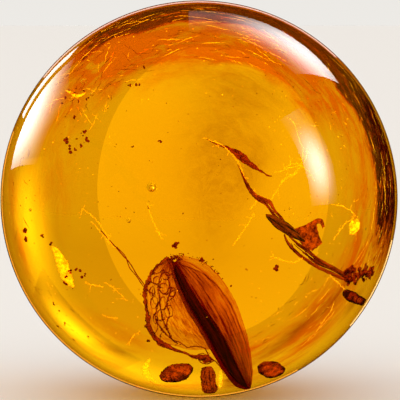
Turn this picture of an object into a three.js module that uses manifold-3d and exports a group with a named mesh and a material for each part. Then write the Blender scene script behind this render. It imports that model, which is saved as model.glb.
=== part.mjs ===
// A polished ball of clear honey-coloured amber with plant debris sealed in it.
// Millimetres, +Z up. The origin is the centre of the small flat that the ball stands on, and the
// front of the ball looks along -Y.
import * as THREE from 'three';
import { mergeVertices } from 'three/addons/utils/BufferGeometryUtils.js';
import Module from 'manifold-3d';

const wasm = await Module();
wasm.setup();

// The ball and the flat that keeps it from rolling
const ballRadius = 25;
const footRadius = 4;
const centreHeight = Math.sqrt(ballRadius ** 2 - footRadius ** 2);
const ballSegments = 40;
const ballRings = 18;

// The debris lies on an old flow face through the ball's centre. Its right side comes forward by
// the yaw and its lower side by the lean. The amber is parted there.
const faceYaw = THREE.MathUtils.degToRad(10);
const faceLean = THREE.MathUtils.degToRad(14);
const partingGap = 0.3;
const pocketGap = 0.3;
// A pocket is a plainer form than what lies in it: fewer steps along it, and fewer sides.
const pocketStepShare = 0.6;
const pocketSides = 7;

// The seed, seen as a dark kernel in the mouth of a ribbed husk
const kernelHalfWidth = 0.85;
const kernelHalfDepth = 0.5;
const huskReachRight = 2.9;
const huskReachLeft = 1.6;
const huskDepth = 1.6;
const huskWall = 0.35;
const huskRibs = 8;
const huskRibShare = 0.05;

// Thin leaves and bracts
const bractThickness = 0.3;
const bractBulge = 0.9;
const scrapThickness = 0.26;
const scrapCurl = 1.1;

const flowFace = new THREE.Matrix4().compose(
  new THREE.Vector3(0, 0, centreHeight),
  new THREE.Quaternion().setFromEuler(new THREE.Euler(-faceLean, 0, -faceYaw, 'ZYX')),
  new THREE.Vector3(1, 1, 1),
);
const depthAxis = new THREE.Vector3(0, 1, 0);

// A closed geometry's shared points are merged, its empty triangles left out, and its faces turned
// outward
function tidied(geometry) {
  const bare = geometry.clone();
  bare.deleteAttribute('normal');
  bare.deleteAttribute('uv');
  const merged = mergeVertices(bare, 1e-4);
  const place = merged.attributes.position;
  const corner = [new THREE.Vector3(), new THREE.Vector3(), new THREE.Vector3()];
  const kept = [];
  let volume = 0;
  for (let i = 0; i < merged.index.count; i += 3) {
    const [a, b, c] = [0, 1, 2].map((k) => merged.index.getX(i + k));
    if (a === b || b === c || c === a) continue;
    kept.push(a, b, c);
    [a, b, c].forEach((v, k) => corner[k].fromBufferAttribute(place, v));
    volume += corner[0].dot(corner[1].clone().cross(corner[2]));
  }
  if (volume < 0) kept.reverse();
  const out = new THREE.BufferGeometry();
  out.setAttribute('position', place.clone());
  out.setIndex(kept);
  return out;
}

function solidOf(geometry) {
  const clean = tidied(geometry);
  return new wasm.Manifold(new wasm.Mesh({
    numProp: 3,
    vertProperties: new Float32Array(clean.attributes.position.array),
    triVerts: new Uint32Array(clean.index.array),
  }));
}

function geometryOf(solid) {
  const mesh = solid.getMesh();
  const out = new THREE.BufferGeometry();
  out.setAttribute('position', new THREE.BufferAttribute(mesh.vertProperties.slice(), 3));
  out.setIndex(new THREE.BufferAttribute(mesh.triVerts.slice(), 1));
  return out;
}

// The skin over a pile of rings with equally many points each, with both ends closed
function skin(rings, endOutline) {
  const round = rings[0].length;
  const points = rings.flat();
  const faces = [];
  for (let i = 0; i + 1 < rings.length; i += 1) {
    for (let j = 0; j < round; j += 1) {
      const next = (j + 1) % round;
      const [a, b] = [i * round + j, i * round + next];
      faces.push(a, b, a + round, b, b + round, a + round);
    }
  }
  const last = (rings.length - 1) * round;
  for (const [a, b, c] of THREE.ShapeUtils.triangulateShape(endOutline, [])) {
    faces.push(a, c, b, last + a, last + b, last + c);
  }
  const out = new THREE.BufferGeometry().setFromPoints(points);
  out.setIndex(faces);
  return tidied(out);
}

// A form swept along a route on the flow face. Each stop of the route is [x, z, half width, depth],
// and section(width, share of the way) gives the outline there as points of [to the right of the
// way, to the back]. A pocket is the same form grown by the gap.
function sweep(stops, steps, section, grow = 0) {
  const centre = new THREE.CatmullRomCurve3(
    stops.map(([x, z, , depth = 0]) => new THREE.Vector3(x, depth, z)), false, 'centripetal');
  const width = new THREE.SplineCurve(stops.map(([, , half], i) => new THREE.Vector2(i, half)));
  const rings = [];
  let endOutline = null;
  for (let i = 0; i <= steps; i += 1) {
    const share = i / steps;
    const at = centre.getPoint(share);
    const along = centre.getTangent(share);
    const side = new THREE.Vector3().crossVectors(along, depthAxis).normalize();
    const back = new THREE.Vector3().crossVectors(side, along);
    if (i === 0) at.addScaledVector(along, -grow);
    if (i === steps) at.addScaledVector(along, grow);
    const outline = section(width.getPoint(share).y, share);
    if (i === 0) endOutline = outline.map(([right, deep]) => new THREE.Vector2(right, deep));
    rings.push(outline.map(([right, deep]) => at.clone()
      .addScaledVector(side, right).addScaledVector(back, deep)));
  }
  return skin(rings, endOutline);
}

// An oval section with low lobes, as a bundle of fibres has
function oval(sides, flatness = 1, lobes = 0, lobeShare = 0) {
  return (grow) => (half) => {
    const corners = grow > 0 ? pocketSides : sides;
    return Array.from({ length: corners }, (_, j) => {
      const turn = (2 * Math.PI * j) / corners;
      const lobe = 1 + lobeShare * (grow > 0 ? 1 : Math.cos(lobes * turn));
      return [(half * lobe + grow) * Math.cos(turn), (half * flatness * lobe + grow) * Math.sin(turn)];
    });
  };
}

// A thin sheet between two edges, each a list of [x, z]. front and rear give the depth of its two
// faces from the share along and the share across, and a pocket is the same sheet grown by the gap.
function sheet(edgeA, edgeB, columns, rows, front, rear, grow = 0) {
  const curves = [edgeA, edgeB].map((edge) => new THREE.SplineCurve(
    edge.map(([x, z]) => new THREE.Vector2(x, z))));
  const middle = (share) => curves[0].getPoint(share).add(curves[1].getPoint(share)).divideScalar(2);
  const rings = [];
  for (let i = 0; i <= columns; i += 1) {
    const along = i / columns;
    const [a, b] = curves.map((curve) => curve.getPoint(along));
    const across = b.clone().sub(a).normalize();
    a.addScaledVector(across, -grow);
    b.addScaledVector(across, grow);
    const way = middle(Math.min(1, along + 0.01)).sub(middle(Math.max(0, along - 0.01))).normalize();
    const shift = i === 0 ? -grow : i === columns ? grow : 0;
    const there = [];
    const andBack = [];
    for (let j = 0; j <= rows; j += 1) {
      const at = a.clone().lerp(b, j / rows).addScaledVector(way, shift);
      there.push(new THREE.Vector3(at.x, front(along, j / rows) - grow, at.y));
      andBack.unshift(new THREE.Vector3(at.x, rear(along, j / rows) + grow, at.y));
    }
    rings.push([...there, ...andBack]);
  }
  const endOutline = [
    ...Array.from({ length: rows + 1 }, (_, j) => new THREE.Vector2(j, 0)),
    ...Array.from({ length: rows + 1 }, (_, j) => new THREE.Vector2(rows - j, 1)),
  ];
  return skin(rings, endOutline);
}

// The seed's axis runs from the top down to the right. Its stops carry the kernel's half width as a
// share of the widest.
const seedAxis = [
  [-1.7, -5.5, 0.2], [-0.9, -7.4, 0.8], [0.7, -9.9, 0.95], [2.5, -13.1, 1],
  [3.6, -15.0, 1], [4.8, -17.4, 0.85], [6.0, -20.4, 0.55], [6.8, -22.3, 0.15],
];
const kernelStops = seedAxis.map(([x, z, share]) => [x, z, share * kernelHalfWidth]);
const kernelSection = oval(10, kernelHalfDepth / kernelHalfWidth);

// The husk is a half shell with ribs. It is open to the front on the kernel's left, and its back
// wall passes behind the kernel.
const huskStops = [
  [-1.0, -5.0, 0.5], [-0.5, -7.0, 0.88], [0.9, -10.0, 1], [2.6, -13.2, 0.93],
  [3.7, -15.1, 0.85], [4.7, -17.2, 0.72], [5.6, -19.3, 0.64], [6.0, -20.3, 0.6],
];
const huskFront = THREE.MathUtils.degToRad(-62);
const huskRear = THREE.MathUtils.degToRad(145);
const huskPoints = 16;
const huskSteps = 9;
function huskPoint(size, turn, inward) {
  const ribTurn = (huskRibs * 2 * Math.PI * (turn - huskFront)) / (huskRear - huskFront);
  const rib = 1 + huskRibShare * Math.cos(ribTurn);
  const reach = Math.cos(turn) > 0 ? huskReachRight : huskReachLeft;
  return [
    (size * reach * rib - inward) * Math.cos(turn),
    (size * huskDepth * rib - inward) * Math.sin(turn),
  ];
}
function huskSection(size) {
  const turns = Array.from({ length: huskPoints + 1 }, (_, j) => (
    THREE.MathUtils.lerp(huskFront, huskRear, j / huskPoints)));
  const outer = turns.map((turn) => huskPoint(size, turn, 0));
  const inner = turns.filter((_, j) => j % 2 === 0).map((turn) => huskPoint(size, turn, huskWall));
  return [...outer, ...inner.reverse()];
}

// One roomy pocket holds the kernel and the husk
const seedPocketSides = 10;
const seedPocketSection = (size) => Array.from({ length: seedPocketSides }, (_, j) => {
  const turn = (2 * Math.PI * j) / seedPocketSides;
  const reach = Math.cos(turn) > 0 ? huskReachRight : huskReachLeft;
  const grown = 1 + huskRibShare;
  return [
    (Math.max(size * reach * grown, kernelHalfWidth) + 1.3 * pocketGap) * Math.cos(turn),
    (size * huskDepth * grown + 1.3 * pocketGap) * Math.sin(turn),
  ];
});

// The bract, a veined skin that stands off to the kernel's left. Its right edge follows the seed.
const bractOuterEdge = [
  [-2.9, -5.2], [-3.7, -6.4], [-4.3, -7.9], [-4.1, -9.6], [-3.9, -11.1], [-3.3, -12.3], [-1.9, -13.1],
];
const bractSeedEdge = [
  [-2.6, -5.3], [-2.5, -6.4], [-2.0, -7.7], [-1.2, -9.2], [-0.4, -10.5], [0.4, -11.9], [1.0, -13.3],
];
const bractFront = (along, across) => (
  -bractThickness / 2 - bractBulge * Math.sin(Math.PI * along) * Math.sin(Math.PI * across));
const bractRear = (along, across) => bractFront(along, across) + bractThickness;
const bractPocketRear = () => bractThickness / 2;
// The stalk along its lower left edge ends in a small knot.
const bractStalk = [
  [-4.1, -9.8, 0.2], [-3.9, -11.4, 0.3], [-3.1, -12.7, 0.4], [-1.8, -13.3, 0.28],
  [-0.4, -13.8, 0.22], [0.6, -14.5, 0.3], [1.5, -15.3, 0.42],
];

// Each strand: its stops, its section and the steps along it
const strands = {
  plant_hair: {
    stops: [
      [-9.4, -1.0, 0.1, 0], [-8.1, -2.5, 0.13, 0], [-7.0, -3.8, 0.15, 0], [-6.0, -5.0, 0.15, -0.2],
      [-5.1, -6.5, 0.15, -0.7], [-4.0, -8.1, 0.14, -1.2], [-3.2, -8.9, 0.1, -1.5],
    ],
    section: oval(6),
    steps: 12,
  },
  twig_stem: {
    stops: [
      [14.3, -7.1, 0.3, 0.3], [13.4, -6.6, 0.36, 0.4], [11.6, -5.9, 0.38, 0.5], [10.1, -5.1, 0.4, 0.55],
      [8.9, -4.3, 0.42, 0.55], [8.1, -3.6, 0.3, 0.5],
    ],
    section: oval(12, 0.8, 4, 0.2),
    steps: 10,
  },
  thin_stem: {
    stops: [
      [6.8, -0.9, 0.24, 0], [6.1, -0.3, 0.28, 0.1], [5.4, 0.2, 0.22, -0.1], [4.7, 0.6, 0.26, 0.1],
      [4.1, 1.2, 0.27, 0], [3.7, 2.0, 0.2, 0], [3.3, 2.6, 0.12, 0], [2.9, 3.2, 0.1, 0],
    ],
    section: oval(7),
    steps: 12,
  },
  twig_bud: {
    stops: [
      [5.9, -1.6, 0.12], [6.6, -2.0, 0.36], [7.4, -2.5, 0.46], [8.2, -2.9, 0.36], [8.9, -3.2, 0.14],
    ],
    section: oval(8, 0.8),
    steps: 8,
  },
  slim_leaf: {
    stops: [
      [0.6, 4.9, 0.1], [1.3, 4.6, 0.1], [2.0, 4.3, 0.12], [2.8, 4.0, 0.32], [3.6, 3.5, 0.45],
      [4.3, 2.9, 0.3], [4.8, 2.5, 0.12], [5.6, 2.1, 0.1],
    ],
    section: oval(6, 0.45),
    steps: 16,
  },
  bark_stub: {
    stops: [
      [14.9, -8.8, 0.45], [15.6, -9.2, 0.72], [17.1, -10.1, 0.78], [18.8, -11.2, 0.72], [20.7, -12.4, 0.6],
    ],
    section: oval(9, 0.75, 3, 0.06),
    steps: 7,
  },
  pip_left: {
    stops: [
      [-2.4, -18.5, 0.4], [-2.1, -17.7, 1.05], [-1.5, -16.9, 1.2], [-0.8, -16.2, 0.8], [-0.4, -15.7, 0.3],
    ],
    section: oval(10, 0.7),
    steps: 7,
  },
  wood_stub: {
    stops: [
      [1.6, -16.5, 0.45], [1.7, -17.4, 0.72], [1.9, -19.2, 0.75], [2.1, -21.0, 0.85], [2.2, -22.6, 0.6],
    ],
    section: oval(9, 0.7, 3, 0.06),
    steps: 7,
  },
  pip_right: {
    stops: [
      [7.6, -17.0, 0.45], [8.1, -17.7, 1.0], [8.9, -18.8, 0.85], [9.7, -19.8, 1.05], [10.5, -20.8, 0.5],
    ],
    section: oval(10, 0.7),
    steps: 8,
  },
};
const swept = ({ stops, section, steps }) => sweep(stops, steps, section(0));
const sweptPocket = ({ stops, section, steps }) => solidOf(
  sweep(stops, Math.ceil(steps * pocketStepShare), section(pocketGap), pocketGap));

// The clump of crumbs, each [x, z, radius], fused where they touch
const crumbs = [[15.6, -7.4, 0.65], [16.7, -7.7, 0.85], [17.9, -7.5, 0.8], [18.9, -8.0, 0.7]];
function crumbClump() {
  return crumbs.map(([x, z, radius], i) => {
    const lump = new THREE.IcosahedronGeometry(radius, 1);
    lump.scale(1, 0.85, 1);
    lump.rotateZ(i);
    lump.translate(x, 0, z);
    return solidOf(lump);
  }).reduce((all, lump) => all.add(lump));
}

const scrapUpperEdge = [[9.4, -2.4], [10.2, -2.1], [11.1, -1.9], [11.8, -2.3]];
const scrapLowerEdge = [[9.5, -3.1], [10.0, -4.0], [10.8, -4.6], [11.5, -4.2]];
const scrapLowerSag = 0.3;
const scrapFront = (along, across) => (
  -scrapThickness / 2 - scrapCurl * along ** 2 - scrapLowerSag * across * along);
const scrapRear = (along, across) => scrapFront(along, across) + scrapThickness;

const bract = solidOf(sheet(bractOuterEdge, bractSeedEdge, 8, 4, bractFront, bractRear))
  .add(solidOf(sweep(bractStalk, 9, oval(7)(0))));
const bractPocket = solidOf(
  sheet(bractOuterEdge, bractSeedEdge, 6, 3, bractFront, bractPocketRear, pocketGap),
).add(solidOf(sweep(bractStalk, 6, oval(7)(pocketGap), pocketGap)));
const scrap = sheet(scrapUpperEdge, scrapLowerEdge, 5, 4, scrapFront, scrapRear);
const scrapPocket = solidOf(
  sheet(scrapUpperEdge, scrapLowerEdge, 4, 2, scrapFront, scrapRear, pocketGap));

function material(color, roughness, opacity = 1) {
  return new THREE.MeshStandardMaterial({
    color, roughness, metalness: 0, opacity, transparent: opacity < 1,
  });
}

function named(name, geometry, finish) {
  const mesh = new THREE.Mesh(geometry, finish);
  mesh.name = name;
  return mesh;
}

// The ball as one turned profile: the flat foot, the arc out to the girth and the arc up to the
// crown
function ball() {
  const footTurn = Math.asin(footRadius / ballRadius);
  const profile = [new THREE.Vector2(0, 0), new THREE.Vector2(footRadius, 0)];
  for (const [from, to] of [[footTurn, Math.PI / 2], [Math.PI / 2, Math.PI]]) {
    for (let i = 1; i <= ballRings / 2; i += 1) {
      const turn = THREE.MathUtils.lerp(from, to, (2 * i) / ballRings);
      const height = centreHeight - ballRadius * Math.cos(turn);
      profile.push(new THREE.Vector2(ballRadius * Math.sin(turn), height));
    }
  }
  const turned = new THREE.LatheGeometry(profile, ballSegments);
  turned.rotateX(Math.PI / 2);
  return solidOf(turned);
}

// Everything on one side of the flow face, as a block: side -1 is the front, 1 the back
function sideBlock(side) {
  const reach = 3 * ballRadius;
  const block = new THREE.BoxGeometry(reach, reach, reach);
  block.translate(0, (side * (reach + partingGap)) / 2, 0);
  block.applyMatrix4(flowFace);
  return solidOf(block);
}

const debris = new THREE.Group();
debris.applyMatrix4(flowFace);
const barkBrown = 0x5a2408;
const colours = {
  plant_hair: 0x6b2408,
  twig_stem: 0x7a3208,
  thin_stem: 0x8a3c0a,
  twig_bud: 0x4a1a1a,
  slim_leaf: 0x7a2c08,
  bark_stub: 0x4a3008,
  pip_left: barkBrown,
  wood_stub: barkBrown,
  pip_right: barkBrown,
};
debris.add(named('seed_kernel', sweep(kernelStops, 12, kernelSection(0)), material(0x3a0804, 0.4)));
debris.add(named('seed_husk', sweep(huskStops, huskSteps, huskSection), material(0x9a4408, 0.6)));
debris.add(named('papery_bract', geometryOf(bract), material(0xa85a10, 0.7)));
debris.add(named('leaf_scrap', scrap, material(0x7a3010, 0.6)));
debris.add(named('frass_clump', geometryOf(crumbClump()), material(0x6a2a08, 0.8)));
for (const [name, strand] of Object.entries(strands)) {
  debris.add(named(name, swept(strand), material(colours[name], 0.6)));
}

const pockets = [
  solidOf(sweep(huskStops, 6, seedPocketSection, pocketGap)),
  solidOf(sweep(kernelStops, 7, kernelSection(pocketGap), pocketGap)),
  bractPocket,
  scrapPocket,
  solidOf(sweep(crumbs, 4, oval(7)(pocketGap), 3 * pocketGap)),
  ...Object.values(strands).map(sweptPocket),
].map((pocket) => solidOf(geometryOf(pocket).applyMatrix4(flowFace)));

const amber = material(0xf0a010, 0.05, 0.5);
const hollowed = pockets.reduce((left, pocket) => left.subtract(pocket), ball());
const object = new THREE.Group();
object.add(named('amber_front', geometryOf(hollowed.intersect(sideBlock(-1))), amber));
object.add(named('amber_back', geometryOf(hollowed.intersect(sideBlock(1))), amber.clone()));
object.add(debris);

export default object;
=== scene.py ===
import math
import random

import bmesh
import bpy
from mathutils import Matrix, Vector, noise
from mathutils.kdtree import KDTree


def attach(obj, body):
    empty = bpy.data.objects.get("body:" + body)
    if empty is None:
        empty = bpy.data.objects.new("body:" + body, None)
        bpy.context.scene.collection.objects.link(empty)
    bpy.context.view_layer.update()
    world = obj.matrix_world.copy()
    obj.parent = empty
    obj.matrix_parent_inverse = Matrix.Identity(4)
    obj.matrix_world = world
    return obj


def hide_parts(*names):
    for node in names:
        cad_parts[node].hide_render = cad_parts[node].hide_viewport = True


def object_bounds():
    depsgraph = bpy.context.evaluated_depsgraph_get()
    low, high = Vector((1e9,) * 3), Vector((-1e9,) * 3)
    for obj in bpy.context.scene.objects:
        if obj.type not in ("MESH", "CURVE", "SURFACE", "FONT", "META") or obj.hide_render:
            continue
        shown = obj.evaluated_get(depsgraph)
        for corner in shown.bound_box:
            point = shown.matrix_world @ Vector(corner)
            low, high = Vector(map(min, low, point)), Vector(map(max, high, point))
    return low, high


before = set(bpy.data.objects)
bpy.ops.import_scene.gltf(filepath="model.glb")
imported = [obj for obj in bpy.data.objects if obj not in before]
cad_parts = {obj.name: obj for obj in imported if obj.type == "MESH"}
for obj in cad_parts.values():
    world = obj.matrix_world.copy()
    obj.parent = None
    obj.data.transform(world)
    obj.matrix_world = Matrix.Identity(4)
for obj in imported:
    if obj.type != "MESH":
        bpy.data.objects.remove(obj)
cad_low, cad_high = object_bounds()

# Amber
# One piece of clear fossil resin, turned and polished to a ball with a small flat to stand on. It
# is rubbed with fine chalk at the end, so its skin is smooth but very slightly wavy, and the gas
# that the resin trapped shows as round bubbles.
MM = 0.001
ball_radius = (cad_high.x - cad_low.x) / 2
ball_centre = Vector((0, 0, cad_high.z - ball_radius))
face_yaw = math.radians(10)
face_lean = math.radians(14)
# Everything sealed in lies on or near an old flow face. Its places are given in millimetres on that
# face, from the ball's centre: to the right, to the back and up.
flow_face = (
    Matrix.Translation(ball_centre)
    @ Matrix.Rotation(-face_yaw, 4, "Z")
    @ Matrix.Rotation(-face_lean, 4, "X")
)
skin_wave = 12 * MM
skin_wave_depth = 0.02 * MM
# Each bubble: right, back, up and radius in millimetres
bubbles = [
    (-3.93, 0.0, 0.94, 0.42),
    (-5.74, 0.1, -1.82, 0.22),
    (-4.13, 0.2, -0.2, 0.08),
    (8.0, -0.4, -0.8, 0.12),
    (12.6, 0.2, 1.9, 0.1),
    (-9.7, 0.3, 9.4, 0.3),
    (-9.0, -0.2, 8.4, 0.22),
    (-10.6, 0.1, 8.0, 0.18),
    (-14.2, -0.6, -1.2, 0.15),
]
small_bubbles = 26
bubble_field = 20
bubble_rng = random.Random(11)
for _ in range(small_bubbles):
    turn = bubble_rng.uniform(0, math.tau)
    away = bubble_field * math.sqrt(bubble_rng.random())
    bubbles.append((
        away * math.cos(turn),
        bubble_rng.uniform(-6, 6),
        away * math.sin(turn),
        bubble_rng.uniform(0.05, 0.12),
    ))


def linear(hex_colour):
    """An sRGB hex colour as linear RGBA."""
    parts = [int(hex_colour[i:i + 2], 16) / 255 for i in (1, 3, 5)]
    return [c / 12.92 if c <= 0.04045 else ((c + 0.055) / 1.055) ** 2.4 for c in parts] + [1]


def add_node(tree, kind, values={}, links={}, stops=(), **settings):
    """Adds a shader node, with its properties, its socket values, its links and its colour stops.
    A link comes from a socket, or from the first output of a node."""
    node = tree.nodes.new("ShaderNode" + kind)
    for name, value in settings.items():
        setattr(node, name, value)
    for socket, value in values.items():
        node.inputs[socket].default_value = value
    for socket, source in links.items():
        tree.links.new(getattr(source, "outputs", [source])[0], node.inputs[socket])
    if stops:
        marks = node.color_ramp.elements
        for mark, (place, colour) in zip(marks, (stops[0], stops[-1])):
            mark.position = place
            mark.color = colour
        for place, colour in stops[1:-1]:
            marks.new(place).color = colour
    return node


def new_material(name, values):
    """A material with its tree, its Principled shader with these socket values, and its output."""
    material = bpy.data.materials.new(name)
    material.use_nodes = True
    tree = material.node_tree
    shader = tree.nodes["Principled BSDF"]
    for socket, value in values.items():
        shader.inputs[socket].default_value = value
    return material, tree, shader, tree.nodes["Material Output"]


ball = bmesh.new()
bmesh.ops.create_icosphere(ball, subdivisions=7, radius=ball_radius)
for point in ball.verts:
    swell = 0.5 + 0.5 * noise.noise(point.co / skin_wave)
    point.co *= 1 - swell * skin_wave_depth / ball_radius
    point.co += ball_centre
    point.co.z = max(point.co.z, 0)
for right, back, up, radius in bubbles:
    at = flow_face @ (Vector((right, back, up)) * MM)
    fineness = 3 if radius > 0.15 else 2
    made = bmesh.ops.create_icosphere(
        ball, subdivisions=fineness, radius=radius * MM, matrix=Matrix.Translation(at))
    walls = {face for point in made["verts"] for face in point.link_faces}
    bmesh.ops.reverse_faces(ball, faces=list(walls))
ball_mesh = bpy.data.meshes.new("amber_ball")
ball.to_mesh(ball_mesh)
ball.free()
ball_mesh.shade_smooth()
ball_mesh.set_sharp_from_angle(angle=math.radians(5))
amber_ball = bpy.data.objects.new("amber_ball", ball_mesh)
bpy.context.collection.objects.link(amber_ball)

# Clear succinite: refraction 1.54, a glassy polish, and honey-yellow to orange by depth
clear_amber, tree, shader, output = new_material("clear_amber", {
    "Base Color": (1, 1, 1, 1), "Transmission Weight": 1, "IOR": 1.54, "Roughness": 0})
absorption = add_node(tree, "VolumeAbsorption", {"Color": (0.985, 0.866, 0.0, 1), "Density": 150})
tree.links.new(absorption.outputs["Volume"], output.inputs["Volume"])
ball_mesh.materials.append(clear_amber)
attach(amber_ball, "root")
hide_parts("amber_front", "amber_back")

# Seed kernel
# The hard core of a seed, pointed at both ends and carbonised to near black. Its rims are thin
# enough to glow dark red against the light.
sealed_in = bpy.data.collections.new("sealed_in")
kernel_flatness = 0.6
# Its course: right, up and half width
kernel_stops = [
    (-1.75, -5.6, 0.08), (-1.4, -6.5, 0.3), (-0.7, -7.9, 0.44), (0.2, -9.5, 0.52), (1.35, -11.25, 0.62),
    (2.55, -13.45, 0.66), (3.8, -16.2, 0.6), (5.2, -19.2, 0.44), (6.35, -21.6, 0.2),
    (6.95, -22.8, 0.05),
]


def new_form():
    """An empty form: points in millimetres, faces, a grain place and a shade for each point."""
    return {"points": [], "faces": [], "grain": [], "shade": []}


def rounded(stops, steps):
    """Even samples of the smooth line through the stops, which are tuples of equal length."""
    line = []
    for i in range(steps + 1):
        place = i / steps * (len(stops) - 1)
        k = min(int(place), len(stops) - 2)
        t = place - k
        around = [stops[min(max(k + j, 0), len(stops) - 1)] for j in (-1, 0, 1, 2)]
        line.append(tuple(
            0.5 * (2 * b + (c - a) * t + (2 * a - 5 * b + 4 * c - d) * t ** 2
                   + (3 * b - a - 3 * c + d) * t ** 3)
            for a, b, c, d in zip(*around)
        ))
    return line


def add_tube(form, line, sides, section):
    """Sweeps a closed section along a line of (right, up, half width, back). section(share, turn,
    half) gives the outline's way to the right, its way back, and the shade there."""
    places = [Vector((stop[0], stop[3] if len(stop) > 3 else 0, stop[1])) for stop in line]
    first = len(form["points"])
    length = 0
    for i, place in enumerate(places):
        way = (places[min(i + 1, len(places) - 1)] - places[max(i - 1, 0)]).normalized()
        side = way.cross(Vector((0, 1, 0))).normalized()
        back = side.cross(way)
        length += (place - places[max(i - 1, 0)]).length
        for j in range(sides):
            turn = math.tau * j / sides
            right, deep, shade = section(i / (len(places) - 1), turn, line[i][2])
            form["points"].append(place + side * right + back * deep)
            form["grain"].append((right, deep, length))
            form["shade"].append(shade)
    for i in range(len(places) - 1):
        for j in range(sides):
            a = first + i * sides + j
            b = first + i * sides + (j + 1) % sides
            form["faces"].append((a, b, b + sides, a + sides))
    last = first + (len(places) - 1) * sides
    form["faces"].append(tuple(range(first + sides - 1, first - 1, -1)))
    form["faces"].append(tuple(range(last, last + sides)))


def seal_in(name, form, material, stands_for=None):
    """Makes a sealed-in piece from a form, on the flow face."""
    mesh = bpy.data.meshes.new(name)
    mesh.from_pydata([Vector(point) * MM for point in form["points"]], [], form["faces"])
    grain = mesh.attributes.new("grain", "FLOAT_VECTOR", "POINT")
    grain.data.foreach_set("vector", [value for place in form["grain"] for value in place])
    shade = mesh.attributes.new("shade", "FLOAT", "POINT")
    shade.data.foreach_set("value", form["shade"])
    mesh.materials.append(material)
    mesh.shade_smooth()
    piece = bpy.data.objects.new(name, mesh)
    bpy.context.collection.objects.link(piece)
    piece.matrix_world = flow_face
    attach(piece, "root")
    if stands_for:
        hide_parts(stands_for)
    sealed_in.objects.link(piece)
    return piece


def kernel_section(share, turn, half):
    groove = 1 + 0.03 * math.sin(7 * turn + 5 * share) + 0.02 * math.sin(13 * turn - 9 * share)
    rim = min(1, max(0, abs(math.cos(turn)) - 0.66) / 0.2)
    return half * groove * math.cos(turn), half * kernel_flatness * groove * math.sin(turn), rim


def along_grain(tree, per_mm, detail, roughness=0.5, distortion=0):
    """The uneven growth of a piece, drawn along its grain. Each way of the grain has so many features
    per millimetre."""
    grain = add_node(tree, "Attribute", attribute_name="grain")
    place = add_node(tree, "Mapping", {"Scale": per_mm}, {"Vector": grain.outputs["Vector"]})
    values = {"Scale": 1, "Detail": detail, "Roughness": roughness, "Distortion": distortion}
    return add_node(tree, "TexNoise", values, {"Vector": place})


def thin_wall(tree, shader, output, tint, clear_share=None, solid_share=None):
    """Lets light of a tint, given as a colour or a node, straight through a solid surface. One share
    is given: that of the clear part or that of the solid part."""
    fixed = isinstance(tint, list)
    clear = add_node(
        tree, "BsdfTransparent", {"Color": tint} if fixed else {}, {} if fixed else {"Color": tint})
    first, second = (shader, clear) if clear_share else (clear, shader)
    wall = add_node(tree, "MixShader", links={"Fac": clear_share or solid_share, 1: first, 2: second})
    tree.links.new(wall.outputs["Shader"], output.inputs["Surface"])


kernel = new_form()
add_tube(kernel, rounded(kernel_stops, 130), 48, kernel_section)

# Carbonised seed coat: near black with fine long streaks, and red where it thins out
seed_coat, tree, shader, output = new_material("carbonised_seed_coat", {"Roughness": 0.5, "IOR": 1.1})
rim = add_node(tree, "Attribute", attribute_name="shade")
# Streaks 0.25 mm wide and 4 mm long
streaks = along_grain(tree, (4, 4, 0.25), 4)
coat_colour = add_node(tree, "ValToRGB", links={"Fac": streaks}, stops=[
    (0.38, linear("#0c0101")), (0.72, linear("#400804"))])
tree.links.new(coat_colour.outputs["Color"], shader.inputs["Base Color"])
thinness = add_node(tree, "Math", links={0: rim.outputs["Fac"], 1: streaks}, operation="MULTIPLY")
see_through = add_node(
    tree, "MapRange", {"From Min": 0.12, "From Max": 0.6, "To Max": 0.9}, {"Value": thinness})
thin_wall(tree, shader, output, linear("#e0400c"), clear_share=see_through)
seal_in("carbonised_kernel", kernel, seed_coat, "seed_kernel")

# Seed husk
# A half shell of dry fibre round the kernel's right and back, with long ribs. It is thin, so the
# light comes through it brown between the ribs.
husk_depth = 1.3
husk_steps = 130
husk_kernel_edge = [
    (-2.2, -5.1), (-1.95, -6.6), (-1.42, -8.05), (-0.65, -9.7), (0.35, -11.4), (1.5, -13.6),
    (2.85, -16.3), (4.05, -18.9), (5.1, -21.0), (6.4, -22.8),
]
husk_outer_edge = [
    (-1.5, -4.7), (0.2, -5.1), (1.6, -6.1), (2.8, -7.6), (3.75, -9.3), (4.5, -11.2), (5.2, -13.3),
    (5.8, -15.7), (6.4, -18.5), (7.0, -22.0),
]
# The strong rib at the inner layer's end: its share of the way across, half width and strength
border_reach = 0.88
border_width = 0.018
border_strength = 0.4
# Each finer rib, in the same values
husk_ribs = [
    (0.12, 0.02, 0.2), (0.21, 0.014, 0.3), (0.3, 0.02, 0.2), (0.36, 0.012, 0.35), (0.47, 0.02, 0.25),
    (0.55, 0.012, 0.3), (0.63, 0.02, 0.25), (0.7, 0.01, 0.3), (0.79, 0.014, 0.2), (0.985, 0.012, 0.25),
]


def add_sheet(form, columns, rows, place):
    """A thin sheet: place(along, across) gives right, back, up, shade and the grain's two ways."""
    first = len(form["points"])
    for i in range(columns + 1):
        for j in range(rows + 1):
            right, back, up, shade, u, v = place(i / columns, j / rows)
            form["points"].append((right, back, up))
            form["grain"].append((u, v, 0))
            form["shade"].append(shade)
    for i in range(columns):
        for j in range(rows):
            a = first + i * (rows + 1) + j
            form["faces"].append((a, a + 1, a + rows + 2, a + rows + 1))


kernel_side = rounded(husk_kernel_edge, husk_steps)
outer_side = rounded(husk_outer_edge, husk_steps)


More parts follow.
